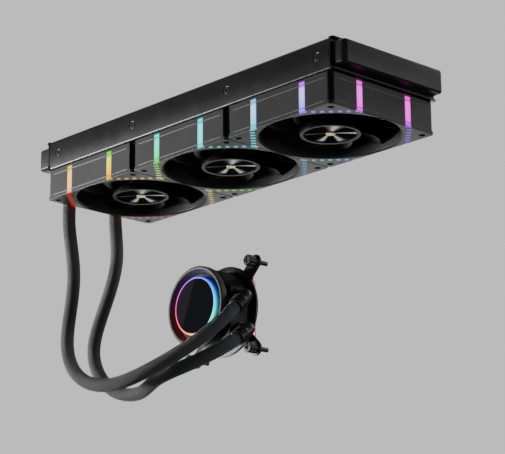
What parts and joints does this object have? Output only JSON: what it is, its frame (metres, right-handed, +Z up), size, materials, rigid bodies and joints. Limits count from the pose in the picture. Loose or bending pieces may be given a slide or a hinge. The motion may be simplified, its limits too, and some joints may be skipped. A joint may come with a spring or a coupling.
{
  "type": "liquid cooling radiator",
  "caption": "All-in-one liquid cooler: slim radiator with lit fans beneath it, sleeved coolant hoses and a round pump head with a lit display.",
  "frame": {"origin": "centre of the radiator's upper mounting plane, the face screwed to a case's roof", "axes": "+X along the radiator away from the hose ports, -Y the way the pump's display faces, +Z up out of the mounting plane"},
  "size_m": [0.3925, 0.138, 0.2364],
  "materials": {
    "radiator_paint": "satin black powder coat",
    "fin_aluminium": "thin black lacquer on folded fins",
    "frame_plastic": "fine matt mould texture",
    "blade_plastic": "semi-gloss moulded",
    "hub_metal": "dark radially brushed",
    "steel": "ground",
    "black_steel": "black oxide",
    "copper": "machined copper",
    "hose_sleeve": "fine woven sleeve",
    "rubber": "matt",
    "bezel_metal": "satin grey-black",
    "display_glass": "polished black",
    "fan_light_1": "translucent diffuser",
    "fan_light_2": "translucent diffuser",
    "fan_light_3": "translucent diffuser",
    "ring_light": "translucent diffuser"
  },
  "bodies": {
    "cooler_body": {"bracket_screw_1": "black_steel", "bracket_screw_2": "black_steel", "bracket_screw_3": "black_steel", "bracket_screw_4": "black_steel", "elbow_lower": "black_steel", "elbow_upper": "black_steel", "fan_1_frame": "frame_plastic", "fan_1_light_guide": "fan_light_1", "fan_1_screw_a": "black_steel", "fan_1_screw_b": "black_steel", "fan_1_screw_c": "black_steel", "fan_1_screw_d": "black_steel", "fan_1_stator": "copper", "fan_2_frame": "frame_plastic", "fan_2_light_guide": "fan_light_2", "fan_2_screw_a": "black_steel", "fan_2_screw_b": "black_steel", "fan_2_screw_c": "black_steel", "fan_2_screw_d": "black_steel", "fan_2_stator": "copper", "fan_3_frame": "frame_plastic", "fan_3_light_guide": "fan_light_3", "fan_3_screw_a": "black_steel", "fan_3_screw_b": "black_steel", "fan_3_screw_c": "black_steel", "fan_3_screw_d": "black_steel", "fan_3_stator": "copper", "fill_plug": "black_steel", "fin_core": "fin_aluminium", "header_plate_left": "radiator_paint", "header_plate_right": "radiator_paint", "hose_far": "hose_sleeve", "hose_near": "hose_sleeve", "port_ferrule_far": "black_steel", "port_ferrule_near": "black_steel", "pump_bezel": "bezel_metal", "pump_bracket": "black_steel", "pump_cold_plate": "copper", "pump_display_glass": "display_glass", "pump_display_module": "frame_plastic", "pump_ferrule_lower": "black_steel", "pump_ferrule_upper": "black_steel", "pump_housing": "frame_plastic", "pump_light_ring": "ring_light", "pump_seal": "rubber", "pump_stator": "copper", "side_plate_far": "radiator_paint", "side_plate_near": "radiator_paint", "tank_left": "radiator_paint", "tank_right": "radiator_paint"},
    "fan_rotor_1": {"fan_1_hub_cap": "hub_metal", "fan_1_rotor": "blade_plastic", "fan_1_shaft": "steel"},
    "fan_rotor_2": {"fan_2_hub_cap": "hub_metal", "fan_2_rotor": "blade_plastic", "fan_2_shaft": "steel"},
    "fan_rotor_3": {"fan_3_hub_cap": "hub_metal", "fan_3_rotor": "blade_plastic", "fan_3_shaft": "steel"},
    "pump_rotor": {"pump_impeller": "frame_plastic"}
  },
  "joints": [
    {"name": "fan_1_spin", "type": "hinge", "parent": "cooler_body", "child": "fan_rotor_1", "pos_m": [-0.12, 0, -0.045], "axis": [0, 0, 1], "continuous": true},
    {"name": "fan_2_spin", "type": "hinge", "parent": "cooler_body", "child": "fan_rotor_2", "pos_m": [0, 0, -0.045], "axis": [0, 0, 1], "continuous": true},
    {"name": "fan_3_spin", "type": "hinge", "parent": "cooler_body", "child": "fan_rotor_3", "pos_m": [0.12, 0, -0.045], "axis": [0, 0, 1], "continuous": true},
    {"name": "pump_spin", "type": "hinge", "parent": "cooler_body", "child": "pump_rotor", "pos_m": [-0.0778, 0.062, -0.1568], "axis": [0, 1, 0], "continuous": true}
  ]
}
